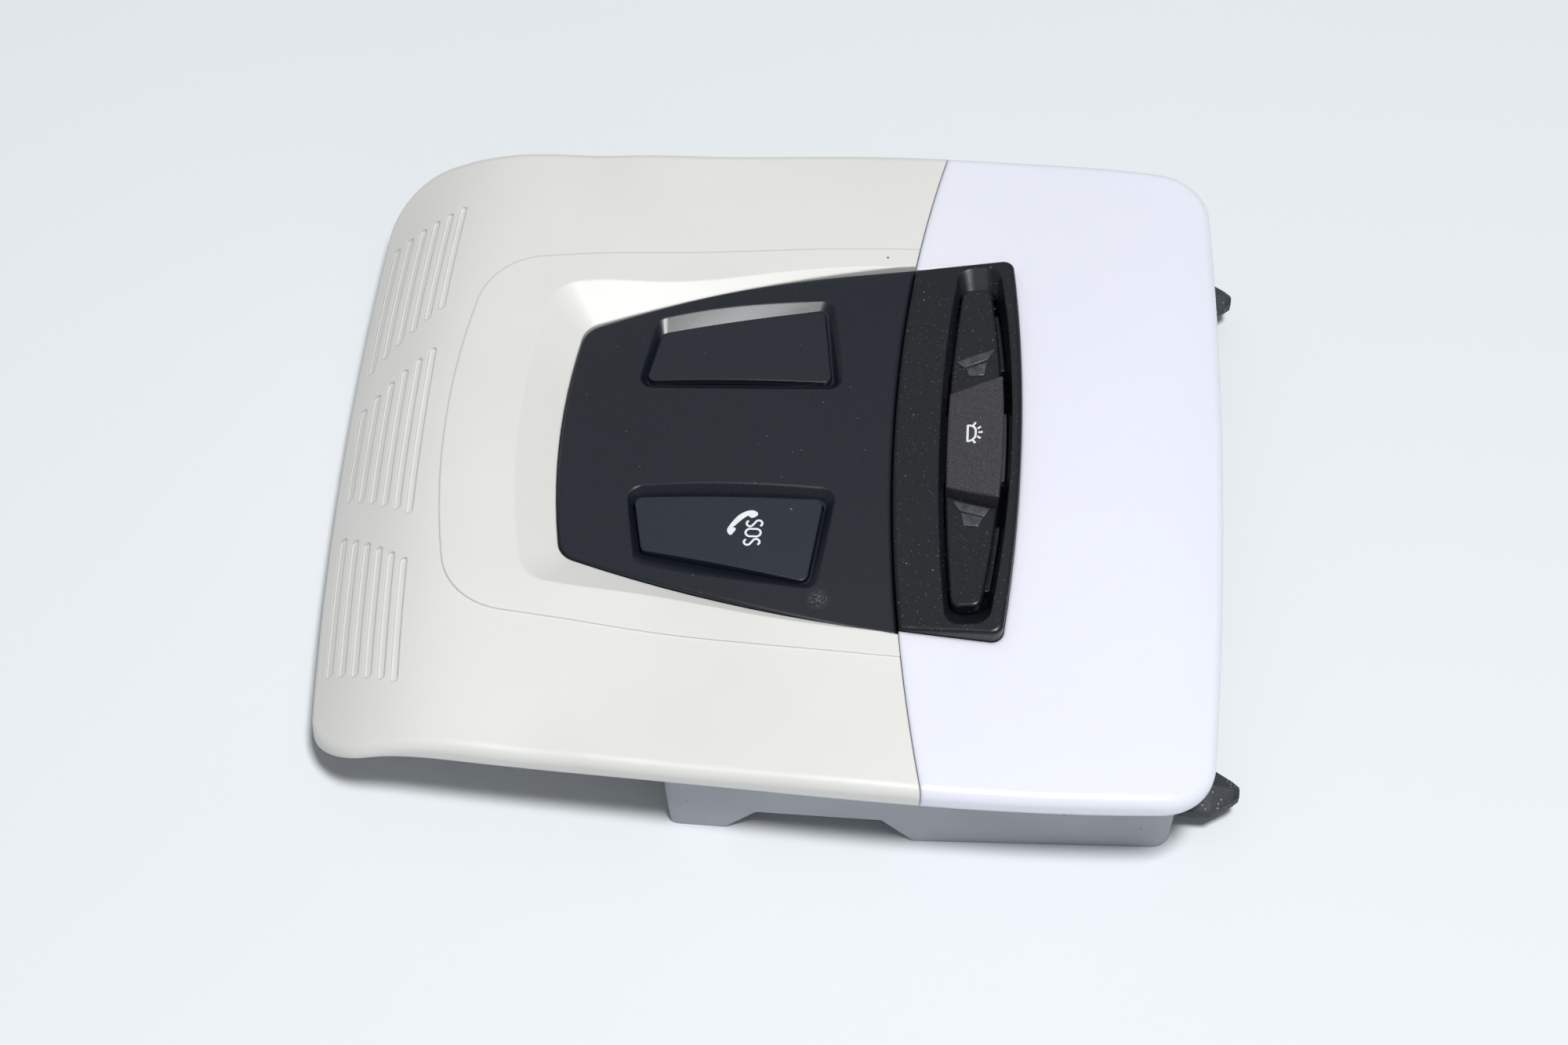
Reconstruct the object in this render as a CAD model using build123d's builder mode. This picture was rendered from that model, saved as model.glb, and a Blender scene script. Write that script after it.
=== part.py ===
"""Interior light of a car, lying on its back with the cabin face up, in millimetres."""

import os

from build123d import *

os.makedirs("parts", exist_ok=True)

# Outline of the cabin face: left rim and lens edge at mid width, half width at its widest
left_end = -99.3
right_end = 93.5
half_width = 85.8
corner_left = 15.0
corner_right = 12.0

# Crown of the skin: x, depth below the top of the crown, fall to the side at 80 from the middle
crown_top = 36.8
stations = [
    (-101, 31.2, 2.4),
    (-96.7, 23.9, 2.6),
    (-90.7, 17.8, 2.8),
    (-80.7, 10.9, 3.4),
    (-70.7, 7.8, 3.1),
    (-60.7, 6.6, 3.3),
    (-40.7, 5.6, 3.6),
    (-0.7, 3.8, 3.6),
    (31.3, 2.0, 4.1),
    (59.3, 0.3, 5.0),
    (79.3, 0.9, 4.2),
    (89.3, 3.4, 3.0),
    (97, 6.5, 2.2),
]
span = 90

# Lower edge of cover and lens in side view
rim_line = [(-103, 0.0), (-98, 5.0), (-94.7, 9.5), (-88.7, 15.0), (-80.7, 19.4), (-60.7, 22.0)]
rim_line += [(-20.7, 23.6), (31.3, 25.4), (59.3, 26.2), (83.3, 26.9), (99, 27.2)]

cover_wall = 2.4
shoulder = 2.5
seam_x = 21.6
seam_bow = 10.0
seam_gap = 0.2
plateau_rise = 0.3

# Vent grooves on the nose
groove_count = 6
groove_x = -81.4
groove_pitch = 2.9
groove_width = 1.5
groove_depth = 0.6

# Control panel, tilted up towards the lens, and its pocket in the cover
panel_tilt = 6.3
pocket_height = 30.9
panel_gap = 0.25
panel_thick = 3.4
panel_stations = [(-60, 24.3), (-48, 26.2), (-33.2, 28.9), (7.4, 33.2), (32, 35.6)]
panel_fall = 2.2
pad_recess = 1.7
pad_sink = 0.8
button_gap = 0.35

# Switch bezel and its switches: heights at the middle of the row, slopes, falls at 50 from the middle
switch_x = 39.0
bezel_height = 37.8
bezel_rise = 0.19
bezel_fall = 1.6
bezel_wall = 4.2
bezel_depth = 9.0
recess_depth = 5.2
recess_end = 49.6
pad_step = 3.2
pad_dish = -1.3
pad_end = 42.5
dome_button_step = 0.4
dome_button_rise = 0.29
pivot_y = 43.0
pivot_z = 27.2
pivot_radius = 1.2

# Rear housing and what it carries; its long walls draw in towards the hooks
tray_left = -22.0
tray_right = 85.6
tray_half = 79.3
taper_x = 32.0
taper = 0.056
tray_corner = 4.0
tray_top = 24.6
end_drop = 4.6
tray_floor = 8.5
tray_wall = 2.0
foot_return = 62.0
rib_thick = 1.6
rib_height = 4.0
board_z = 12.5
board_thick = 1.6
press_travel = 1.0
hook_reach = 99.3


def skin(lower):
    """Solid under the crowned cabin face, lowered by an even height."""
    with BuildPart() as body:
        for x, depth, fall in stations:
            top = crown_top - depth - lower
            edge = top - fall * (span / 80) ** 2
            with BuildSketch(Plane.YZ.offset(x)):
                with BuildLine():
                    ThreePointArc((-span, edge), (0, top), (span, edge))
                    Polyline((-span, edge), (-span, -25), (span, -25), (span, edge))
                make_face()
        loft()
    return body.part


def plan_prism(inset):
    """Upright prism over the outline of the cabin face, moved inwards."""
    left = left_end + inset
    right = right_end - inset
    widths = [(left + 3.6, 7.0), (-60.7, 4.4), (-20.7, 2.3), (31.3, 0.0), (59.3, 0.0), (right - 2.6, 1.9)]
    side = [(x, half_width - less - inset) for x, less in widths]
    other = [(x, -y) for x, y in side]
    with BuildPart() as prism:
        with BuildSketch(Plane.XY.offset(-20)):
            with BuildLine():
                Spline(side)
                Spline(other)
                ThreePointArc(side[0], (left, 0), other[0])
                ThreePointArc(side[-1], (right, 0), other[-1])
            make_face()
        extrude(amount=80)
        fillet(prism.edges().filter_by(Axis.Z).sort_by(Axis.X)[:2], corner_left - inset)
        fillet(prism.edges().filter_by(Axis.Z).sort_by(Axis.X)[-2:], corner_right - inset)
    return prism.part


def seam_prism(shift, far):
    """Upright prism on one side of the seam between cover and lens."""
    edge = seam_x + seam_bow + shift
    with BuildPart() as prism:
        with BuildSketch(Plane.XY.offset(-20)):
            with BuildLine():
                ThreePointArc((edge, -88), (seam_x + shift, 0), (edge, 88))
                Polyline((edge, 88), (far, 88), (far, -88), (edge, -88))
            make_face()
        extrude(amount=80)
    return prism.part


def barrel(left, corner_x, corner_y, mid_y, right_x, right_y, radius, plane, grow=0.0):
    """Face with a bowed left end and long sides that widen to the right."""
    with BuildSketch(plane) as face:
        with BuildLine():
            ThreePointArc(
                (corner_x - grow, corner_y + grow), (left - grow, 0), (corner_x - grow, -corner_y - grow)
            )
            mid_x = (corner_x + right_x) / 2
            for s in (1, -1):
                ThreePointArc(
                    (corner_x - grow, s * (corner_y + grow)),
                    (mid_x, s * (mid_y + grow)),
                    (right_x, s * (right_y + grow)),
                )
            Line((right_x, -right_y - grow), (right_x, right_y + grow))
        make_face()
        fillet(face.vertices().sort_by(Axis.X)[:2], radius)
    return face.sketch


def lip_face(plane, grow=0.0):
    return barrel(-50.9, -48.0, 31.0, 43.3, 30.0, 50.2, 5.5 + grow, plane, grow)


def flare_face(plane, grow=0.0):
    return barrel(-60.5, -57.0, 42.5, 53.0, 30.0, 59.0, 9.0 + grow, plane, grow)


def panel_skin(lower):
    """Solid under the crowned face of the control panel."""
    with BuildPart() as body:
        for x, height in panel_stations:
            top = height - lower
            edge = top - panel_fall * (70 / 50) ** 2
            with BuildSketch(Plane.YZ.offset(x)):
                with BuildLine():
                    ThreePointArc((-70, edge), (0, top), (70, edge))
                    Polyline((-70, edge), (-70, -10), (70, -10), (70, edge))
                make_face()
        loft()
    return body.part


def bezel_skin(lower, rise=bezel_rise, fall=bezel_fall):
    """Solid under the crowned, rising face of the switch bezel."""
    with BuildPart() as body:
        for x in (10, 65):
            top = bezel_height + rise * (x - switch_x) - lower
            edge = top - fall * (70 / 50) ** 2
            with BuildSketch(Plane.YZ.offset(x)):
                with BuildLine():
                    ThreePointArc((-70, edge), (0, top), (70, edge))
                    Polyline((-70, edge), (-70, -10), (70, -10), (70, edge))
                make_face()
        loft()
    return body.part


def pad_face(side, grow):
    """Outline of one pad of the control panel, widening towards the lens."""
    points = [(-33.2, 15.8), (7.4, 15.8), (4.9, 36.6), (-30.6, 29.4)]
    with BuildSketch() as face:
        with BuildLine():
            Polyline([(x, side * y) for x, y in points], close=True)
        make_face()
        fillet(face.vertices(), 1.6)
        if grow:
            offset(amount=grow)
    return face.sketch


def bezel_face(grow):
    """Outline of the switch bezel: seam on the left, bowed edge on the right."""
    left = seam_x + seam_gap / 2
    end = left + 3.1
    with BuildSketch() as face:
        with BuildLine():
            ThreePointArc((end, 48.5), (left, 0), (end, -48.5))
            Line((end, 48.5), (46.2, 50.2))
            Line((end, -48.5), (46.2, -50.2))
            ThreePointArc((46.2, 50.2), (49.0, 0), (46.2, -50.2))
        make_face()
        fillet(face.vertices().sort_by(Axis.X)[-2:], 2.5)
        if grow:
            offset(amount=grow, kind=Kind.INTERSECTION)
    return face.sketch


def boat_face(plane, grow, end):
    """Boat outline of the row of switches, drawn about its middle."""
    with BuildSketch(plane) as face:
        with BuildLine():
            ThreePointArc((-4.0 - grow, end), (-6.3 - grow, 0), (-4.0 - grow, -end))
            ThreePointArc((2.9 + grow, end), (6.4 + grow, 0), (2.9 + grow, -end))
            Line((-4.0 - grow, end), (2.9 + grow, end))
            Line((-4.0 - grow, -end), (2.9 + grow, -end))
        make_face()
        fillet(face.vertices(), 2.4 + grow)
    return face.sketch


def opening_face(grow):
    return boat_face(Plane((switch_x, 0, 0)), grow, pad_end + button_gap + grow)


def dome_button_face(grow):
    """Region of the middle switch, with flared and bowed ends."""
    with BuildSketch() as face:
        with BuildLine():
            for s in (1, -1):
                ThreePointArc((30, s * (11.1 + grow)), (39, s * (14.6 + grow)), (50, s * (17.6 + grow)))
            Line((30, 11.1 + grow), (30, -11.1 - grow))
            Line((50, 17.6 + grow), (50, -17.6 - grow))
        make_face()
    return face.sketch


def tray_side(x):
    """Half width of the rear housing at x."""
    return tray_half - taper * max(0, x - taper_x)


def tray_face(grow):
    """Outline of the rear housing."""
    ends = [(tray_left, tray_half), (taper_x, tray_half), (tray_right, tray_side(tray_right))]
    with BuildSketch() as face:
        with BuildLine():
            Polyline(ends + [(x, -y) for x, y in reversed(ends)], close=True)
        make_face()
        fillet(face.vertices().sort_by(Axis.X)[:2], tray_corner)
        fillet(face.vertices().sort_by(Axis.X)[-2:], tray_corner)
        if grow:
            offset(amount=grow)
    return face.sketch


# Shared bodies
with BuildPart() as dome:
    add(skin(0))
    add(plan_prism(0), mode=Mode.INTERSECT)
    fillet(dome.faces().sort_by(Axis.Z)[-1].edges(), shoulder)

with BuildPart() as outer:
    add(dome.part)
    with BuildSketch(Plane.XZ):
        with BuildLine():
            Spline(rim_line)
            Polyline(rim_line[0], (rim_line[0][0], -30), (rim_line[-1][0], -30), rim_line[-1])
        make_face()
    extrude(amount=100, both=True, mode=Mode.SUBTRACT)

with BuildPart() as inner:
    add(skin(cover_wall))
    add(plan_prism(cover_wall), mode=Mode.INTERSECT)

pocket_plane = Plane((0, 0, pocket_height)).rotated((0, -panel_tilt, 0))

with BuildPart() as tub:
    add(lip_face(pocket_plane.offset(-6.2), 2.4))
    add(lip_face(pocket_plane, 2.4))
    add(flare_face(pocket_plane.offset(7), 2.4))
    loft(ruled=True)
    add(dome.part, mode=Mode.INTERSECT)

with BuildPart() as flare:
    add(lip_face(pocket_plane))
    add(flare_face(pocket_plane.offset(7)))
    loft(ruled=True)

with BuildPart() as plateau:
    add(skin(-plateau_rise))
    add(barrel(-75.8, -70.0, 46.5, 52.0, 30, 55.0, 16, Plane.XY.offset(18)))
    extrude(amount=30, mode=Mode.INTERSECT)

with BuildPart() as grooves:
    for k in range(groove_count):
        share = k / (groove_count - 1)
        x = groove_x - groove_pitch * k
        runs = [(34.7 - 11.3 * share, 63.8 - 5.9 * share)]
        runs += [(-b, -a) for a, b in runs]
        runs += [(10 * share - 21.8, 21.8 - 10 * share)]
        for low, high in runs:
            middle = (low + high) / 2
            bow = [(x + 2.4 * (y / 66) ** 2, y) for y in (low, middle, high)]
            with BuildSketch(Plane.XY.offset(5)):
                with BuildLine() as path:
                    ThreePointArc(bow[0], bow[1], bow[2])
                SlotArc(path.edge(), groove_width)
            extrude(amount=30)
    add(skin(groove_depth), mode=Mode.SUBTRACT)

with BuildPart() as panel_room:
    add(lip_face(Plane.XY))
    extrude(amount=60)
    add(panel_skin(panel_thick), mode=Mode.SUBTRACT)

with BuildPart() as panel_window:
    add(lip_face(Plane.XY, -2.6))
    extrude(amount=60)

# Front cover: shell, flared pocket with a seat for the panel, ribs that stand on the housing
with BuildPart() as front_cover:
    add(outer.part)
    add(plateau.part)
    add(inner.part, mode=Mode.SUBTRACT)
    add(tub.part)
    with BuildSketch(Plane.XY.offset(tray_top)):
        with Locations([(x, side * (tray_side(x) + 0.5)) for x in (-14, 12) for side in (1, -1)]):
            Rectangle(7, 5)
    extrude(until=Until.NEXT)
    add(seam_prism(-seam_gap / 2, -120), mode=Mode.INTERSECT)
    add(flare.part, mode=Mode.SUBTRACT)
    add(grooves.part, mode=Mode.SUBTRACT)
    add(panel_room.part, mode=Mode.SUBTRACT)
    add(panel_window.part, mode=Mode.SUBTRACT)

# Lens: the same skin on the other side of the seam, cut out for the bezel
with BuildPart() as lens:
    add(outer.part)
    add(inner.part, mode=Mode.SUBTRACT)
    with BuildSketch(Plane.XY.offset(tray_top)):
        with Locations([(x, side * (tray_side(x) + 0.5)) for x in (40, 70) for side in (1, -1)]):
            Rectangle(7, 5)
    extrude(until=Until.NEXT)
    add(seam_prism(seam_gap / 2, 120), mode=Mode.INTERSECT)
    add(bezel_face(seam_gap))
    extrude(amount=60, mode=Mode.SUBTRACT)

# Control panel: crowned plate with two sloped pockets
pad_plane = Plane((0, 0, 31.8)).rotated((0, -panel_tilt, 0))
pocket_floor = [(-33.9, 15.2), (8.1, 15.2), (5.5, 37.3), (-31.3, 29.9)]
pocket_mouth = [(-36.1, 12.4), (11.7, 12.2), (9.9, 42.8), (-33.0, 36.8)]

with BuildPart() as control_panel:
    add(lip_face(Plane.XY, -panel_gap))
    extrude(amount=60)
    add(panel_skin(0), mode=Mode.INTERSECT)
    add(seam_prism(-seam_gap / 2, -120), mode=Mode.INTERSECT)
    fillet(control_panel.faces().sort_by(Axis.Z)[-1].edges(), 0.8)
    add(panel_skin(panel_thick), mode=Mode.SUBTRACT)
    for side in (1, -1):
        for height, points, radius in ((-pad_recess, pocket_floor, 1.8), (pad_recess, pocket_mouth, 4.0)):
            with BuildSketch(pad_plane.offset(height)) as outline:
                with BuildLine():
                    Polyline([(x, side * y) for x, y in points], close=True)
                make_face()
                fillet(outline.vertices(), radius)
        loft(mode=Mode.SUBTRACT)
    add(pad_face(-1, button_gap))
    extrude(amount=60, mode=Mode.SUBTRACT)
    add(pad_face(1, -2.5))
    extrude(amount=60, mode=Mode.SUBTRACT)

pane_thick = 1.6
with BuildPart() as indicator_pane:
    add(pad_face(1, 0))
    extrude(amount=60)
    add(panel_skin(pad_sink), mode=Mode.INTERSECT)
    add(panel_skin(pad_sink + pane_thick), mode=Mode.SUBTRACT)

with BuildPart() as pane_room:
    add(pad_face(1, 0.15))
    extrude(amount=60)
    add(panel_skin(pad_sink + pane_thick), mode=Mode.SUBTRACT)

with control_panel:
    add(pane_room.part, mode=Mode.SUBTRACT)

board_top = board_z + board_thick
contact_thick = 0.6
stem_end = board_top + contact_thick + press_travel + 0.3
skirt = panel_thick + 2.0

with BuildPart() as emergency_call_button:
    add(pad_face(-1, 1.4))
    extrude(amount=60)
    add(panel_skin(panel_thick + 0.4), mode=Mode.INTERSECT)
    with BuildPart(mode=Mode.PRIVATE) as cap:
        add(pad_face(-1, 0))
        extrude(amount=60)
        add(panel_skin(pad_sink), mode=Mode.INTERSECT)
    add(cap.part)
    add(panel_skin(skirt), mode=Mode.SUBTRACT)
    with BuildSketch(Plane.XY.offset(stem_end)):
        with Locations((-12, -25)):
            Circle(3)
    extrude(amount=14)

# Switch bezel: hollow block with the boat-shaped opening, bearing lugs and legs on the board
leg_places = [(27.4, 44), (27.4, 16), (27.4, -16), (27.4, -44)]
with BuildPart() as switch_bezel:
    add(bezel_face(0))
    extrude(amount=60)
    add(bezel_skin(0), mode=Mode.INTERSECT)
    fillet(switch_bezel.faces().sort_by(Axis.Z)[-1].edges(), 1.0)
    add(bezel_skin(bezel_depth), mode=Mode.SUBTRACT)
    with BuildPart(mode=Mode.PRIVATE) as hollow:
        add(bezel_face(-1.2))
        extrude(amount=60)
        add(bezel_skin(bezel_wall), mode=Mode.INTERSECT)
    add(hollow.part, mode=Mode.SUBTRACT)
    with BuildSketch(Plane.XY.offset(board_top)):
        with Locations(leg_places):
            Circle(2.2)
    extrude(amount=18)
    for lug_x in (31.3, 44.6):
        for side in (1, -1):
            with BuildSketch(Plane.YZ.offset(lug_x)) as lug:
                with BuildLine():
                    Polyline((38, 34.8), (40, pivot_z), (46, pivot_z), (47, 34.8), close=True)
                make_face()
                with Locations((pivot_y, pivot_z)):
                    Circle(3)
                    Circle(pivot_radius + 0.3, mode=Mode.SUBTRACT)
                if side < 0:
                    mirror(about=Plane.YZ, mode=Mode.REPLACE)
            extrude(amount=1.9)
    lean = Plane((switch_x, 0, bezel_height), x_dir=(1, 0, bezel_rise), z_dir=(-bezel_rise, 0, 1))
    add(boat_face(lean, 1.5, recess_end))
    add(boat_face(lean.offset(-recess_depth), 0, pad_end + button_gap))
    loft(mode=Mode.SUBTRACT)
    add(opening_face(0))
    extrude(amount=60, mode=Mode.SUBTRACT)

# Switches of the bezel: skirts held under its face, stems above the contacts
switch_skirt = bezel_wall + 2.6
with BuildPart() as switch_block:
    add(opening_face(0.55))
    extrude(amount=60)
    add(bezel_skin(bezel_wall + 0.4), mode=Mode.INTERSECT)

with BuildPart() as dome_light_button:
    add(switch_block.part)
    with BuildSketch():
        Rectangle(200, 18)
    extrude(amount=60, mode=Mode.INTERSECT)
    with BuildPart(mode=Mode.PRIVATE) as cap:
        add(opening_face(-button_gap))
        extrude(amount=60)
        add(bezel_skin(dome_button_step, dome_button_rise), mode=Mode.INTERSECT)
        add(dome_button_face(0))
        extrude(amount=60, mode=Mode.INTERSECT)
        fillet(cap.faces().sort_by(Axis.Z)[-1].edges(), 0.6)
    add(cap.part)
    add(bezel_skin(switch_skirt), mode=Mode.SUBTRACT)
    with BuildSketch(Plane.XY.offset(stem_end)):
        with Locations((39, 0)):
            Circle(2.5)
    extrude(amount=18)


def reading_pad(side):
    """Long pad that turns on two pins near its outer end."""
    with BuildPart() as pad:
        add(switch_block.part)
        with BuildSketch():
            with Locations((39, side * 29)):
                Rectangle(200, 16)
        extrude(amount=60, mode=Mode.INTERSECT)
        with BuildPart(mode=Mode.PRIVATE) as cap:
            add(opening_face(-button_gap))
            extrude(amount=60)
            add(bezel_skin(pad_step, fall=pad_dish), mode=Mode.INTERSECT)
            with BuildSketch():
                with Locations((39, side * 50)):
                    Rectangle(200, 100)
            extrude(amount=60, mode=Mode.INTERSECT)
            add(dome_button_face(0.5))
            extrude(amount=60, mode=Mode.SUBTRACT)
            fillet(cap.faces().sort_by(Axis.Z)[-1].edges(), 0.7)
        add(cap.part)
        add(bezel_skin(switch_skirt), mode=Mode.SUBTRACT)
        with BuildSketch(Plane.XY.offset(pivot_z - 1.8)):
            with Locations((39, side * pivot_y)):
                Rectangle(8.6, 3.6)
        extrude(amount=5)
        with BuildSketch(Plane.YZ.offset(39)):
            with Locations((side * pivot_y, pivot_z)):
                Circle(pivot_radius)
        extrude(amount=7.2, both=True)
        with BuildSketch(Plane.XY.offset(stem_end)):
            with Locations((39, side * 22)):
                Circle(2)
        extrude(amount=16)
    return pad


reading_light_button_near = reading_pad(-1)
reading_light_button_far = reading_pad(1)

# Rear housing: tray with a foot at each end of its long walls
tray_length = tray_right - tray_left
tray_middle = (tray_left + tray_right) / 2
boss_places = [(x, side * 62) for x in (-12, 44) for side in (1, -1)]
clear_line = [(-9.2, -1), (-8.4, 0), (-2.2, 7.1), (24.2, 7.5), (31.4, 0), (32.4, -1)]
slant_line = [(tray_left - 1, -1), (tray_left + 2.4, -1), (tray_left, 15.6), (tray_left - 1, 15.6)]

with BuildPart() as rear_housing:
    add(tray_face(0))
    extrude(amount=tray_top)
    with BuildSketch(Plane.XY.offset(tray_floor + tray_wall)):
        add(tray_face(-tray_wall))
    extrude(amount=tray_top, mode=Mode.SUBTRACT)
    add(tray_face(-tray_wall))
    extrude(amount=tray_floor, mode=Mode.SUBTRACT)
    with BuildSketch(Plane.XZ):
        with BuildLine():
            Polyline(clear_line, close=True)
        make_face()
    extrude(amount=100, both=True, mode=Mode.SUBTRACT)
    with BuildSketch(Plane.XY):
        with Locations((tray_left, 0), (tray_right, 0)):
            Rectangle(14, 2 * foot_return)
    extrude(amount=tray_floor, mode=Mode.SUBTRACT)
    for level in (foot_return, -100):
        with BuildSketch(Plane.XZ.offset(level)):
            with BuildLine():
                Polyline(slant_line, close=True)
            make_face()
        extrude(amount=100 - foot_return, mode=Mode.SUBTRACT)
    with BuildSketch(Plane.XY.offset(tray_floor)):
        with Locations([(tray_middle, side * 38) for side in (1, -1)]):
            Rectangle(tray_length - 24, rib_thick)
        with Locations([(x, 0) for x in (-8, 18, 44, 70)]):
            Rectangle(rib_thick, 2 * tray_half - 14)
    extrude(amount=-rib_height)
    with BuildSketch(Plane.XY.offset(tray_floor + tray_wall)):
        with Locations(boss_places):
            Circle(3.5)
    extrude(amount=board_z - tray_floor - tray_wall)
    with BuildSketch(Plane.XY.offset(board_z)):
        with Locations(boss_places):
            Circle(1.25)
    extrude(amount=-3.4, mode=Mode.SUBTRACT)
    with BuildSketch(Plane.YZ.offset(tray_left)):
        with Locations((0, tray_top)):
            Rectangle(144, 2 * end_drop)
        with Locations((0, tray_top)):
            Rectangle(25, 2 * (tray_top - board_top + 0.2))
    extrude(amount=tray_wall, mode=Mode.SUBTRACT)

# Hook frame: rail on the end wall with two tapered locating hooks
hook_y = 66.7
hook_sections = [(tray_right + 1, 5.7, 10.9), (93.2, 5.5, 10.8), (98.0, 2.4, 9.9), (hook_reach, 1.2, 9.2)]
with BuildPart() as hook_frame:
    with BuildSketch(Plane.YZ.offset(tray_right)):
        with Locations((0, 11.5)):
            Rectangle(142, 7)
    extrude(amount=3)
    for side in (1, -1):
        for x, half, ridge in hook_sections:
            outline = [(-half, 6.4), (half, 6.4), (half, 8.5), (0, ridge), (-half, 8.5)]
            with BuildSketch(Plane.YZ.offset(x)):
                with BuildLine():
                    Polyline([(side * hook_y + y, z) for y, z in outline], close=True)
                make_face()
        loft(ruled=True)

# Circuit board and what stands on it
with BuildPart() as circuit_board:
    with BuildSketch(Plane.XY.offset(board_z)):
        with Locations((31, 0)):
            Rectangle(97, 142)
        with Locations(boss_places):
            Circle(1.5, mode=Mode.SUBTRACT)
    extrude(amount=board_thick)

with BuildPart() as board_screws:
    with BuildSketch(Plane.XY.offset(board_top)):
        with Locations(boss_places):
            Circle(2.75)
    extrude(amount=1.8)
    with BuildSketch(Plane.XY.offset(board_top)):
        with Locations(boss_places):
            Circle(1.25)
    extrude(amount=-4.6)

with BuildPart() as switch_contacts:
    with BuildSketch(Plane.XY.offset(board_top)):
        with Locations((-12, -25), (39, 0), (39, 22), (39, -22)):
            Rectangle(6, 6)
    extrude(amount=contact_thick)

led_places = [(x, y) for x in (60, 72) for y in (-30, -10, 10, 30)]
optic_places = {"near": -52, "far": 52}
with BuildPart() as dome_leds:
    with BuildSketch(Plane.XY.offset(board_top)):
        with Locations(led_places):
            Rectangle(3.5, 2.8)
    extrude(amount=1.4)

with BuildPart() as reading_leds:
    with BuildSketch(Plane.XY.offset(board_top)):
        with Locations([(66, y) for y in optic_places.values()]):
            Rectangle(3.5, 3.5)
    extrude(amount=1.6)

with BuildPart() as reflector:
    for height, grow in ((board_top, 0), (board_top + 13, 5)):
        with BuildSketch(Plane.XY.offset(height)):
            with Locations((66, 0)):
                Rectangle(24 + grow, 132 + grow)
    loft()
    for height, grow in ((board_top + 1.2, 0), (board_top + 13, 4.5)):
        with BuildSketch(Plane.XY.offset(height)):
            with Locations((66, 0)):
                Rectangle(21 + grow, 129 + grow)
    loft(mode=Mode.SUBTRACT)
    with BuildSketch(Plane.XY.offset(board_top)):
        with Locations(led_places):
            Rectangle(5, 4.4)
        with Locations([(66, y) for y in optic_places.values()]):
            Circle(7.8)
    extrude(amount=1.2, mode=Mode.SUBTRACT)


def reading_optic(y):
    """Clear collimator cup that stands on the board over one light source."""
    with BuildPart() as optic:
        with BuildSketch(Plane.XZ.offset(-y)):
            with BuildLine():
                Polyline((66, 21.5), (66 + 7.2, 21.5), (66 + 5.2, board_top), (66 + 3.4, board_top))
                Polyline((66 + 3.4, board_top), (66 + 3.4, board_top + 3), (66, board_top + 3.6), (66, 21.5))
            make_face()
        revolve(axis=Axis((66, y, 0), (0, 0, 1)))
    return optic


reading_optic_near = reading_optic(optic_places["near"])
reading_optic_far = reading_optic(optic_places["far"])

with BuildPart() as indicator_led:
    with BuildSketch(Plane.XY.offset(board_top)):
        with Locations((-12, 26)):
            Rectangle(3.2, 2.8)
    extrude(amount=1.6)

with BuildPart() as light_guide:
    with BuildSketch(Plane.XY.offset(board_top)):
        with Locations((-12, 26)):
            RectangleRounded(8, 8, 1.5)
    extrude(amount=10.5)
    with BuildSketch(Plane.XY.offset(board_top)):
        with Locations((-12, 26)):
            Rectangle(4.4, 4.4)
    extrude(amount=2.4, mode=Mode.SUBTRACT)

# Connector at the left wall, open towards the front
with BuildPart() as connector_socket:
    with BuildSketch(Plane.YZ.offset(-30)):
        with Locations((0, board_top + 4.5)):
            Rectangle(24, 9)
    extrude(amount=22)
    with BuildSketch(Plane.YZ.offset(-30)):
        with Locations((0, board_top + 4.5)):
            Rectangle(21, 6.2)
    extrude(amount=18, mode=Mode.SUBTRACT)

with BuildPart() as connector_pins:
    with BuildSketch(Plane.YZ.offset(-12)):
        with GridLocations(3.2, 2.6, 6, 2):
            with Locations((0, board_top + 4.5)):
                Rectangle(0.8, 0.8)
    extrude(amount=-13)


def spring_clip(side):
    """Steel strip bent into a barb on the left wall of the housing."""
    with BuildPart() as clip:
        with BuildSketch(Plane.XZ.offset(-side * 45 - 5)):
            with BuildLine():
                Polyline(
                    (tray_left, 19.4), (tray_left - 0.8, 19.4), (tray_left - 0.8, 11.4), (tray_left - 4.6, 15.2),
                    (tray_left - 3.2, 17.6), (tray_left - 3.9, 18.0), (tray_left - 5.6, 15.1),
                    (tray_left - 0.8, 9.9), (tray_left, 9.9), close=True,
                )
            make_face()
        extrude(amount=10)
    return clip


spring_clip_near = spring_clip(-1)
spring_clip_far = spring_clip(1)


def microphone_boot(side):
    """Rubber sleeve pressed against the inside of the nose behind the grooves."""
    with BuildPart() as boot:
        with BuildSketch(Plane.XY.offset(10)):
            with Locations((-85, side * 45)):
                Circle(5.5)
        extrude(amount=25)
        add(inner.part, mode=Mode.INTERSECT)
        with BuildSketch(Plane.XY.offset(10)):
            with Locations((-85, side * 45)):
                Circle(3.5)
        extrude(amount=4, mode=Mode.SUBTRACT)
    return boot


microphone_boot_near = microphone_boot(-1)
microphone_boot_far = microphone_boot(1)


def microphone(side):
    with BuildPart() as capsule:
        with BuildSketch(Plane.XY.offset(9.4)):
            with Locations((-85, side * 45)):
                Circle(3.5)
        extrude(amount=4.6)
    return capsule


microphone_near = microphone(-1)
microphone_far = microphone(1)

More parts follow.
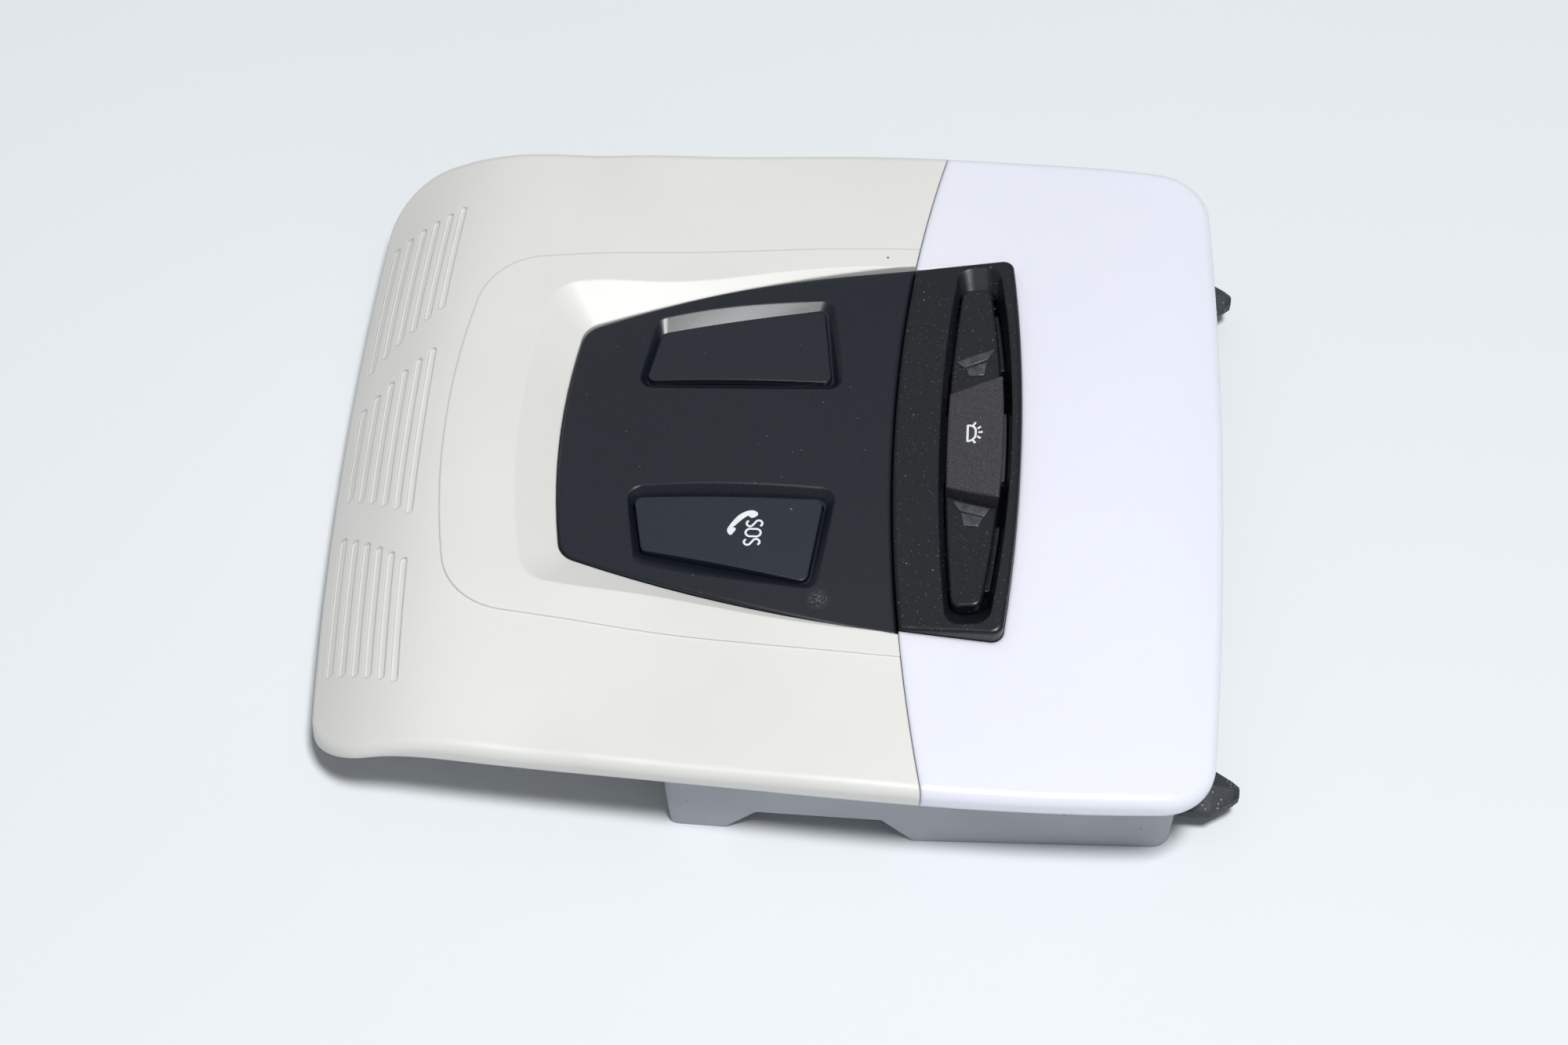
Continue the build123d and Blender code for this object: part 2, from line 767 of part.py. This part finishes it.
pieces = {
    "front_cover": front_cover,
    "lens": lens,
    "control_panel": control_panel,
    "indicator_pane": indicator_pane,
    "emergency_call_button": emergency_call_button,
    "switch_bezel": switch_bezel,
    "dome_light_button": dome_light_button,
    "reading_light_button_near": reading_light_button_near,
    "reading_light_button_far": reading_light_button_far,
    "rear_housing": rear_housing,
    "hook_frame": hook_frame,
    "circuit_board": circuit_board,
    "board_screws": board_screws,
    "switch_contacts": switch_contacts,
    "dome_leds": dome_leds,
    "reading_leds": reading_leds,
    "reflector": reflector,
    "reading_optic_near": reading_optic_near,
    "reading_optic_far": reading_optic_far,
    "indicator_led": indicator_led,
    "light_guide": light_guide,
    "connector_socket": connector_socket,
    "connector_pins": connector_pins,
    "spring_clip_near": spring_clip_near,
    "spring_clip_far": spring_clip_far,
    "microphone_boot_near": microphone_boot_near,
    "microphone_boot_far": microphone_boot_far,
    "microphone_near": microphone_near,
    "microphone_far": microphone_far,
}
for name, piece in pieces.items():
    piece.part.label = name
    export_step(piece.part, f"parts/{name}.step")
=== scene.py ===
from math import radians

import bpy
from mathutils import Matrix, Vector


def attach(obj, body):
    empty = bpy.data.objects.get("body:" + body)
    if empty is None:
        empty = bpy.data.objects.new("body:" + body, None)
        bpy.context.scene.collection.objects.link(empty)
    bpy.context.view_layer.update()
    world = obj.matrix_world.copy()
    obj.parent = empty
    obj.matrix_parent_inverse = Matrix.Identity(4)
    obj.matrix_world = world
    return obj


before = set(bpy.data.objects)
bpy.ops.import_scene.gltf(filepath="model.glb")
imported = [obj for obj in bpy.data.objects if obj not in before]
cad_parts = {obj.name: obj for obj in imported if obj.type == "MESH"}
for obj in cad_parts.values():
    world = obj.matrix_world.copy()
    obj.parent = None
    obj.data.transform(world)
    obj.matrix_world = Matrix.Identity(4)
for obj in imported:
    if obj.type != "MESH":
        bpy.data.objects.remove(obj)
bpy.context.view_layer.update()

# Rear housing: the tray that lies on the table, moulded in plain light grey plastic.
# It carries the board on four bosses, and its side walls end in two feet each.
# Handling has left darker smudges on its walls.


def start_material(name, roughness, specular=0.5):
    """A new plastic: its nodes, links, shader and Object coordinates."""
    material = bpy.data.materials.new(name)
    material.use_nodes = True
    nodes = material.node_tree.nodes
    shader = nodes["Principled BSDF"]
    shader.inputs["Roughness"].default_value = roughness
    shader.inputs["Specular IOR Level"].default_value = specular
    place = nodes.new("ShaderNodeTexCoord")
    return material, nodes, material.node_tree.links, shader, place


def add_noise(nodes, links, place, scale, detail=2.0):
    """Noise over the piece, with its scale in waves per metre."""
    noise = nodes.new("ShaderNodeTexNoise")
    noise.inputs["Scale"].default_value = scale
    noise.inputs["Detail"].default_value = detail
    links.new(place.outputs["Object"], noise.inputs["Vector"])
    return noise


def add_ramp(nodes, links, factor, low, high, start=0.35, end=0.65):
    """Colour that goes from one tone to another as a factor rises."""
    ramp = nodes.new("ShaderNodeValToRGB")
    ramp.color_ramp.elements[0].position = start
    ramp.color_ramp.elements[0].color = (*low, 1)
    ramp.color_ramp.elements[1].position = end
    ramp.color_ramp.elements[1].color = (*high, 1)
    links.new(factor, ramp.inputs["Fac"])
    return ramp


def add_specks(nodes, links, place, colour, scale, size, share, tone):
    """Dust, pits and painted glints: small dots in a few of the cells of a cell pattern, mixed over a colour.
    """
    cells = nodes.new("ShaderNodeTexVoronoi")
    cells.inputs["Scale"].default_value = scale
    links.new(place.outputs["Object"], cells.inputs["Vector"])
    dot = nodes.new("ShaderNodeMath")
    dot.operation = "LESS_THAN"
    dot.inputs[1].default_value = size
    links.new(cells.outputs["Distance"], dot.inputs[0])
    split = nodes.new("ShaderNodeSeparateColor")
    links.new(cells.outputs["Color"], split.inputs["Color"])
    pick = nodes.new("ShaderNodeMath")
    pick.operation = "LESS_THAN"
    pick.inputs[1].default_value = share
    links.new(split.outputs["Red"], pick.inputs[0])
    both = nodes.new("ShaderNodeMath")
    both.operation = "MULTIPLY"
    links.new(dot.outputs["Value"], both.inputs[0])
    links.new(pick.outputs["Value"], both.inputs[1])
    mix = nodes.new("ShaderNodeMix")
    mix.data_type = "RGBA"
    mix.inputs["B"].default_value = (*tone, 1)
    links.new(both.outputs["Value"], mix.inputs["Factor"])
    links.new(colour, mix.inputs["A"])
    return mix.outputs["Result"]


def add_grain(nodes, links, place, shader, scale, height, strength, edge=0.0):
    """Moulded grain as bump over edges that are rounded by a small radius, in metres."""
    grain = add_noise(nodes, links, place, scale)
    bump = nodes.new("ShaderNodeBump")
    bump.inputs["Distance"].default_value = height
    bump.inputs["Strength"].default_value = strength
    links.new(grain.outputs["Fac"], bump.inputs["Height"])
    if edge:
        round_edge = nodes.new("ShaderNodeBevel")
        round_edge.samples = 6
        round_edge.inputs["Radius"].default_value = edge
        links.new(round_edge.outputs["Normal"], bump.inputs["Normal"])
    links.new(bump.outputs["Normal"], shader.inputs["Normal"])


def plastic(
    name, low, high, roughness, grain, height, strength, edge=0.0, specular=0.5, drift=45, specks=()
):
    """Grained plastic whose tone drifts a little, with layers of specks over it."""
    material, nodes, links, shader, place = start_material(name, roughness, specular)
    waves = add_noise(nodes, links, place, drift)
    colour = add_ramp(nodes, links, waves.outputs["Fac"], low, high).outputs["Color"]
    for scale, size, share, tone in specks:
        colour = add_specks(nodes, links, place, colour, scale, size, share, tone)
    links.new(colour, shader.inputs["Base Color"])
    add_grain(nodes, links, place, shader, grain, height, strength, edge)
    return material


def dress(material, *names):
    """Gives CAD nodes their material."""
    for name in names:
        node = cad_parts[name]
        node.data.materials.clear()
        node.data.materials.append(material)


housing_plastic = plastic(
    "housing_plastic", (0.350, 0.370, 0.410), (0.430, 0.450, 0.490), 0.5, 1500, 0.00003, 0.3, 0.0005,
    drift=38, specks=[(420, 0.14, 0.06, (0.26, 0.275, 0.305)), (150, 0.07, 0.08, (0.21, 0.22, 0.245))],
)
dress(housing_plastic, "rear_housing")

# Hook frame: rail with two ridged hooks, moulded in coarse black plastic.
# It is screwed to the end wall, and its hooks go in behind the edge of the roof opening.
hook_plastic = plastic(
    "hook_plastic", (0.016, 0.020, 0.026), (0.036, 0.043, 0.052), 0.6, 2600, 0.00015, 0.9, 0.0003, drift=2200,
    specks=[(1500, 0.26, 0.16, (0.34, 0.37, 0.40))],
)
dress(hook_plastic, "hook_frame")

# Spring clips: spring steel strip, stamped and bent to a barb.
# They are riveted to the left wall and snap over the front edge of the opening.


def metal(name, colour, dark, roughness, scale):
    """Bare metal with fine rolling lines."""
    material, nodes, links, shader, place = start_material(name, roughness)
    shader.inputs["Metallic"].default_value = 1.0
    stretch = nodes.new("ShaderNodeMapping")
    stretch.inputs["Scale"].default_value = (1, 0.04, 1)
    links.new(place.outputs["Object"], stretch.inputs["Vector"])
    lines = nodes.new("ShaderNodeTexNoise")
    lines.inputs["Scale"].default_value = scale
    links.new(stretch.outputs["Vector"], lines.inputs["Vector"])
    ramp = add_ramp(nodes, links, lines.outputs["Fac"], dark, colour)
    links.new(ramp.outputs["Color"], shader.inputs["Base Color"])
    add_grain(nodes, links, place, shader, scale, 0.00002, 0.2, 0.0001)
    return material


spring_steel = metal("spring_steel", (0.62, 0.63, 0.65), (0.50, 0.51, 0.53), 0.3, 2600)
dress(spring_steel, "spring_clip_near", "spring_clip_far")

# Circuit board: glass fibre with green solder mask, cut and drilled.
# It lies on the four bosses of the tray; copper tracks show as paler lines.
# Its green is darkened nearly to black, painted shade for where the board shows through the gaps round the
# switches.
board_mask_painted_shade, nodes, links, shader, place = start_material("board_mask_painted_shade", 0.32)
tracks = nodes.new("ShaderNodeTexBrick")
tracks.inputs["Scale"].default_value = 110
tracks.inputs["Mortar Size"].default_value = 0.012
tracks.inputs["Color1"].default_value = (0.006, 0.042, 0.020, 1)
tracks.inputs["Color2"].default_value = (0.007, 0.050, 0.024, 1)
tracks.inputs["Mortar"].default_value = (0.020, 0.100, 0.048, 1)
links.new(place.outputs["Object"], tracks.inputs["Vector"])
links.new(tracks.outputs["Color"], shader.inputs["Base Color"])
add_grain(nodes, links, place, shader, 5000, 0.00001, 0.2)
dress(board_mask_painted_shade, "circuit_board")

# Board screws: four small pan-head screws of bright zinc-plated steel.
# They cut their own thread in the bosses and hold the board down.
screw_zinc = metal("screw_zinc", (0.70, 0.71, 0.72), (0.58, 0.59, 0.60), 0.25, 3800)
dress(screw_zinc, "board_screws")

# Switch contacts: carbon-filled rubber pads, glued to the board under the stems.
# Each closes its circuit when a switch comes down on it.
contact_rubber = plastic(
    "contact_rubber", (0.012, 0.012, 0.013), (0.020, 0.020, 0.021), 0.8, 3000, 0.00005, 0.4
)
dress(contact_rubber, "switch_contacts")

# Light sources: small packages of white plastic under a yellow gel, soldered to the board.
# Eight light the cabin, two the reading spots and one the indicator pane.
led_gel = plastic("led_gel", (0.78, 0.66, 0.22), (0.86, 0.80, 0.52), 0.35, 2600, 0.00002, 0.2, drift=700)
dress(led_gel, "dome_leds", "reading_leds", "indicator_led")

# Reflector: open tray of gloss white plastic round the light sources.
# It stands on the board and throws the light up into the lens.
reflector_plastic = plastic(
    "reflector_plastic", (0.80, 0.80, 0.79), (0.84, 0.84, 0.83), 0.25, 1800, 0.00001, 0.1
)
dress(reflector_plastic, "reflector")

# Reading optics and light guide: clear acrylic, moulded and polished.
# The cups gather the light of one source each; the guide leads light up to the pane.
clear_acrylic, nodes, links, shader, place = start_material("clear_acrylic", 0.06)
shader.inputs["Transmission Weight"].default_value = 1.0
shader.inputs["IOR"].default_value = 1.49
haze = add_noise(nodes, links, place, 300)
haze_tone = add_ramp(nodes, links, haze.outputs["Fac"], (0.93, 0.95, 0.96), (0.97, 0.98, 0.99))
links.new(haze_tone.outputs["Color"], shader.inputs["Base Color"])
dress(clear_acrylic, "reading_optic_near", "reading_optic_far", "light_guide")

# Connector: black glass-filled socket with twelve tinned pins pressed into its floor.
# It is soldered to the board and looks out through a notch in the left wall.
socket_plastic = plastic(
    "socket_plastic", (0.016, 0.016, 0.018), (0.026, 0.026, 0.028), 0.5, 2200, 0.00004, 0.4, 0.0002
)
dress(socket_plastic, "connector_socket")
pin_metal = metal("pin_metal", (0.74, 0.66, 0.45), (0.62, 0.54, 0.35), 0.28, 5200)
dress(pin_metal, "connector_pins")

# Microphones: drawn aluminium capsules pushed into soft rubber boots.
# The boots sit against the inside of the nose, behind the grooves.
boot_rubber = plastic(
    "boot_rubber", (0.014, 0.014, 0.015), (0.022, 0.022, 0.023), 0.75, 2600, 0.00006, 0.5, 0.0003
)
dress(boot_rubber, "microphone_boot_near", "microphone_boot_far")
capsule_metal = metal("capsule_metal", (0.72, 0.73, 0.74), (0.62, 0.63, 0.64), 0.3, 3000)
dress(capsule_metal, "microphone_near", "microphone_far")

# Front cover: one shell of warm off-white plastic with a fine satin grain.
# It hooks over the long walls of the tray and holds the control panel in its flared pocket.
# A few dark specks of dirt lie on it.
cover_plastic = plastic(
    "cover_plastic", (0.735, 0.733, 0.705), (0.765, 0.762, 0.735), 0.4, 3200, 0.00003, 0.25, 0.0007,
    specular=0.4, drift=24, specks=[(60, 0.022, 0.10, (0.30, 0.29, 0.27))],
)
dress(cover_plastic, "front_cover")

# Control panel: crowned plate of black soft-touch plastic with two sloped pockets.
# It is pressed into the pocket of the cover from above; fine dust clings to it,
# and a pale scuff near its corner shows where it was levered out.
panel_dust = [(520, 0.075, 0.10, (0.11, 0.12, 0.13)), (190, 0.045, 0.12, (0.16, 0.16, 0.16))]
panel_plastic = plastic(
    "panel_plastic", (0.0050, 0.0075, 0.0140), (0.0095, 0.0125, 0.0210), 0.33, 4500, 0.00002, 0.25, 0.0006,
    specular=0.65, drift=2600, specks=panel_dust,
)
nodes = panel_plastic.node_tree.nodes
links = panel_plastic.node_tree.links
place = nodes["Texture Coordinate"]
reach = nodes.new("ShaderNodeVectorMath")
reach.operation = "DISTANCE"
reach.inputs[1].default_value = (0.0076, -0.0412, 0.0322)
links.new(place.outputs["Object"], reach.inputs[0])
fade = nodes.new("ShaderNodeMapRange")
fade.inputs["From Min"].default_value = 0.0028
fade.inputs["From Max"].default_value = 0.0004
links.new(reach.outputs["Value"], fade.inputs["Value"])
scratches = add_noise(nodes, links, place, 2300)
scuffs = add_ramp(nodes, links, scratches.outputs["Fac"], (0, 0, 0), (1, 1, 1), 0.45, 0.62)
worn = nodes.new("ShaderNodeMath")
worn.operation = "MULTIPLY"
links.new(fade.outputs["Result"], worn.inputs[0])
links.new(scuffs.outputs["Color"], worn.inputs[1])
scuffed = nodes.new("ShaderNodeMix")
scuffed.data_type = "RGBA"
scuffed.inputs["B"].default_value = (0.11, 0.11, 0.115, 1)
links.new(worn.outputs["Value"], scuffed.inputs["Factor"])
shader = nodes["Principled BSDF"]
links.new(shader.inputs["Base Color"].links[0].from_socket, scuffed.inputs["A"])
links.new(scuffed.outputs["Result"], shader.inputs["Base Color"])
dress(panel_plastic, "control_panel")

# Indicator pane: smoked plate, flush in the far pocket, that hides a lamp behind it.
# It is a separate satin moulding, a shade bluer than the panel.
pane_plastic = plastic(
    "pane_plastic", (0.0095, 0.0130, 0.0200), (0.0145, 0.0185, 0.0270), 0.33, 5200, 0.00002, 0.25, 0.0005,
    specular=0.6, drift=2600, specks=panel_dust,
)
dress(pane_plastic, "indicator_pane")

# Emergency call button: cap of the near pocket, moulded like the panel.
# It is held by its skirt under the panel and slides straight down.
call_plastic = plastic(
    "call_plastic", (0.0130, 0.0175, 0.0275), (0.0185, 0.0235, 0.0350), 0.33, 4800, 0.00002, 0.25, 0.0005,
    specular=0.6, drift=2600, specks=panel_dust,
)
dress(call_plastic, "emergency_call_button")

# Marks of the call button: a handset and the international call for help, in white ink.
# They are pad-printed on the cap, so they are very thin and follow its slope.
print_ink = plastic("print_ink", (0.76, 0.80, 0.84), (0.84, 0.87, 0.90), 0.5, 5200, 0.00001, 0.3, drift=900)
MM = 0.001
ink_rise = 0.06


def curve_mesh(name, splines, dimensions, **settings):
    """Curves through points in millimetres, made into one mesh."""
    data = bpy.data.curves.new(name, "CURVE")
    data.dimensions = dimensions
    for key, value in settings.items():
        setattr(data, key, value)
    for points, closed, rounded in splines:
        spline = data.splines.new("BEZIER")
        spline.bezier_points.add(len(points) - 1)
        for knot, (x, y) in zip(spline.bezier_points, points):
            knot.co = (x * MM, y * MM, 0)
            knot.handle_left_type = knot.handle_right_type = "AUTO" if rounded else "VECTOR"
        spline.use_cyclic_u = closed
        spline.resolution_u = 8 if rounded else 1
    shape = bpy.data.objects.new(name, data)
    bpy.context.scene.collection.objects.link(shape)
    bpy.ops.object.select_all(action="DESELECT")
    shape.select_set(True)
    bpy.context.view_layer.objects.active = shape
    bpy.ops.object.convert(target="MESH")
    return bpy.context.object


def lay_on(piece, node, x, y, sink=0.0):
    """Puts a flat piece on the top of a CAD node at x, y in millimetres, square to its surface."""
    _, spot, normal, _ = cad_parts[node].ray_cast((x * MM, y * MM, 0.1), (0, 0, -1))
    turn = Vector((0, 0, 1)).rotation_difference(normal)
    piece.matrix_world = Matrix.Translation(spot - normal * sink * MM) @ turn.to_matrix().to_4x4()
    bpy.ops.object.select_all(action="DESELECT")
    piece.select_set(True)
    bpy.context.view_layer.objects.active = piece
    bpy.ops.object.transform_apply(location=True, rotation=True, scale=True)
    bpy.ops.object.mode_set(mode="EDIT")
    bpy.ops.mesh.select_all(action="SELECT")
    bpy.ops.mesh.remove_doubles(threshold=0.000002)
    bpy.ops.mesh.normals_make_consistent(inside=False)
    bpy.ops.object.mode_set(mode="OBJECT")
    bpy.ops.object.shade_smooth_by_angle(angle=radians(40))


def ink_lines(name, lines, stroke):
    """Printed lines: round strokes pressed flat to the thickness of ink."""
    piece = curve_mesh(
        name, lines, "3D", bevel_depth=stroke * MM / 2, bevel_resolution=3, use_fill_caps=True
    )
    piece.scale = (1, 1, 2 * ink_rise / stroke)
    bpy.ops.object.transform_apply(location=False, rotation=False, scale=True)
    return piece


handset_outline = [
    (-2.42, -3.20), (-3.28, -2.03), (-2.94, -1.02), (-2.09, 0.45), (-1.04, 1.80), (0.22, 2.71), (1.41, 3.11),
    (2.46, 2.96), (3.08, 2.30), (2.82, 1.74), (1.63, 1.27), (1.03, 1.72), (0.31, 1.26), (-0.75, 0.24),
    (-1.63, -0.78), (-1.99, -1.12), (-1.48, -1.56), (-1.98, -2.68),
]
handset = curve_mesh(
    "handset_mark", [(handset_outline, True, True)], "2D", fill_mode="BOTH", extrude=ink_rise * MM
)
lay_on(handset, "emergency_call_button", -9.4, -22.4)
letter_s = [(-1.30, 0.62), (-1.66, 0.10), (-1.36, -0.62), (-0.72, -0.74), (-0.06, -0.06), (0.60, 0.70),
            (1.28, 0.66), (1.66, -0.04), (1.30, -0.72)]
letter_o = [(-1.60, 0.0), (-1.18, 0.78), (0.0, 0.94), (1.18, 0.78), (1.60, 0.0), (1.18, -0.78), (0.0, -0.94),
            (-1.18, -0.78)]
letters = [([(x - 0.16, y - 2.35) for x, y in letter_s], False, True), (letter_o, True, True)]
letters += [([(x + 0.16, y + 2.35) for x, y in letter_s], False, True)]
help_mark = ink_lines("help_mark", letters, 0.48)
lay_on(help_mark, "emergency_call_button", -7.1, -24.85)
for mark in (handset, help_mark):
    mark.data.materials.clear()
    mark.data.materials.append(print_ink)
    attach(mark, "call_button")

# Switch bezel: hollow frame of fine-grained black plastic round the row of switches.
# It clips down through the lens and stands on the board with four legs.
# Pale dots mixed into its colour are painted glints of the grain.
painted_glints = [(2600, 0.20, 0.10, (0.22, 0.23, 0.24)), (900, 0.11, 0.05, (0.36, 0.36, 0.36))]
bezel_plastic = plastic(
    "bezel_plastic", (0.0020, 0.0032, 0.0065), (0.0120, 0.0140, 0.0195), 0.32, 6500, 0.00003, 0.5, 0.0005,
    specular=0.6, drift=4200, specks=painted_glints,
)
dress(bezel_plastic, "switch_bezel")

# Reading light pads: two dished rockers in the same grained black as the bezel.
# Each turns on a pair of pins near its outer end and is pressed at its inner end.
dress(bezel_plastic, "reading_light_button_near", "reading_light_button_far")

# Lamp symbols of the pads: a shade and its beam, raised from the pad in the mould.
# Their colour is paler than the pad's, a painted highlight for the light on their edges, with painted glints
# over it.
symbol_rise = 0.26
symbol_edge = 0.16
symbol_painted_highlight = plastic(
    "symbol_painted_highlight", (0.035, 0.038, 0.045), (0.075, 0.080, 0.090), 0.28, 5200, 0.00004, 0.4, 0.0002,
    specular=0.6, drift=400, specks=painted_glints,
)
lamp_symbols = {
    "far": [
        [(34.7, 22.4), (42.8, 25.5), (41.2, 22.9), (36.2, 21.0)],
        [(36.8, 20.3), (41.0, 21.8), (40.6, 18.7), (37.5, 18.6)],
    ],
    "near": [
        [(35.1, -15.3), (42.7, -17.6), (41.6, -19.4), (36.5, -17.7)],
        [(36.8, -18.4), (41.3, -19.9), (40.4, -21.9), (37.5, -21.6)],
    ],
}
for side, shapes in lamp_symbols.items():
    for name, corners in zip(("shade", "beam"), shapes):
        middle = [sum(v) / len(corners) for v in zip(*corners)]
        flat = [(x - middle[0], y - middle[1]) for x, y in corners]
        symbol = curve_mesh(
            f"lamp_{name}_{side}", [(flat, True, False)], "2D", fill_mode="BOTH",
            extrude=symbol_rise * MM, bevel_depth=symbol_edge * MM, bevel_resolution=2,
        )
        lay_on(symbol, f"reading_light_button_{side}", middle[0], middle[1], 0.1)
        symbol.data.materials.clear()
        symbol.data.materials.append(symbol_painted_highlight)
        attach(symbol, f"reading_{side}")

# Dome light button: the middle switch, moulded in dark brown-grey plastic with a coarser grain.
# Its cap stands between the pads and slides straight down.
# The pale dots in its colour are painted glints of the grain.
button_plastic = plastic(
    "button_plastic", (0.026, 0.026, 0.030), (0.072, 0.071, 0.078), 0.36, 5200, 0.00005, 0.6, 0.0005,
    specular=0.5, drift=4200,
    specks=[(2300, 0.20, 0.14, (0.16, 0.155, 0.15)), (700, 0.09, 0.05, (0.36, 0.34, 0.31))],
)
dress(button_plastic, "dome_light_button")

# Mark of the dome light button: a lamp with five rays.
# It is pad-printed on the cap in the same white ink as the marks of the call button.
dome_outline = [
    (-1.36, 2.14), (-0.62, 1.98), (0.20, 1.28), (0.42, 0.0), (0.20, -1.28), (-0.62, -1.98), (-1.36, -2.14)
]
rays = [
    [(0.35, 2.78), (-0.15, 2.0)],
    [(1.52, 1.50), (0.80, 1.06)],
    [(1.98, 0.0), (1.04, 0.04)],
    [(1.54, -1.66), (0.82, -1.04)],
    [(0.42, -2.80), (-0.10, -2.06)],
]
lamp_lines = [(dome_outline, False, True), ([(-1.36, 2.26), (-1.36, -2.26)], False, False)]
lamp_lines += [(ray, False, False) for ray in rays]
lamp_mark = ink_lines("lamp_mark", lamp_lines, 0.50)
lay_on(lamp_mark, "dome_light_button", 38.65, 1.15)
lamp_mark.data.materials.clear()
lamp_mark.data.materials.append(print_ink)
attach(lamp_mark, "dome_button")

# Lens: opal diffuser in cool white plastic with a gloss finish.
# It continues the skin of the cover, stands on the tray and is cut out for the bezel.
lens_plastic = plastic(
    "lens_plastic", (0.805, 0.825, 0.945), (0.825, 0.845, 0.960), 0.24, 700, 0.00001, 0.08, 0.0012,
    specular=0.45, drift=16, specks=[(70, 0.018, 0.08, (0.45, 0.46, 0.50))],
)
glow = lens_plastic.node_tree.nodes["Principled BSDF"].inputs
glow["Subsurface Weight"].default_value = 0.4
glow["Subsurface Radius"].default_value = (1, 1, 1)
glow["Subsurface Scale"].default_value = 0.003
dress(lens_plastic, "lens")

# Table: a plain pale top with a matt finish.
# The unit lies on it with the feet of the tray flat.
bpy.ops.object.select_all(action="DESELECT")
bpy.ops.mesh.primitive_plane_add(size=6, location=(0, 0, 0))
table = bpy.context.object
table.name = "table"
table_paint = plastic(
    "table_paint", (0.790, 0.824, 0.852), (0.800, 0.834, 0.862), 0.6, 400, 0.00001, 0.05, drift=3
)
table.data.materials.append(table_paint)

# Studio light: a soft lamp just above the camera, a weak one from behind and an even sky.
for name, spot, size, power in (
    ("key_light", (0.22, -0.46, 1.70), 0.30, 27.5),
    ("fill_light", (-0.5, 0.9, 1.5), 1.4, 1.2),
):
    lamp = bpy.data.lights.new(name, "AREA")
    lamp.size = size
    lamp.energy = power
    holder = bpy.data.objects.new(name, lamp)
    bpy.context.scene.collection.objects.link(holder)
    holder.location = spot
    holder.rotation_euler = (-Vector(spot)).to_track_quat("-Z", "Y").to_euler()

sky = bpy.data.worlds.new("sky")
sky.use_nodes = True
sky.node_tree.nodes["Background"].inputs["Color"].default_value = (0.95, 0.98, 1, 1)
sky.node_tree.nodes["Background"].inputs["Strength"].default_value = 0.20
bpy.context.scene.world = sky
bpy.context.scene.view_settings.view_transform = "Standard"

# Camera: above the near side, rolled a little, with a long lens.
optics = bpy.data.cameras.new("camera")
optics.sensor_fit = "HORIZONTAL"
optics.sensor_width = 36
optics.lens = 79.99
camera = bpy.data.objects.new("camera", optics)
camera.matrix_world = (
    Matrix.Translation((-0.0007, -0.44976, 0.63803))
    @ Matrix.Rotation(radians(35.19), 4, "X")
    @ Matrix.Rotation(radians(4.23), 4, "Z")
)
bpy.context.scene.collection.objects.link(camera)
bpy.context.scene.camera = camera
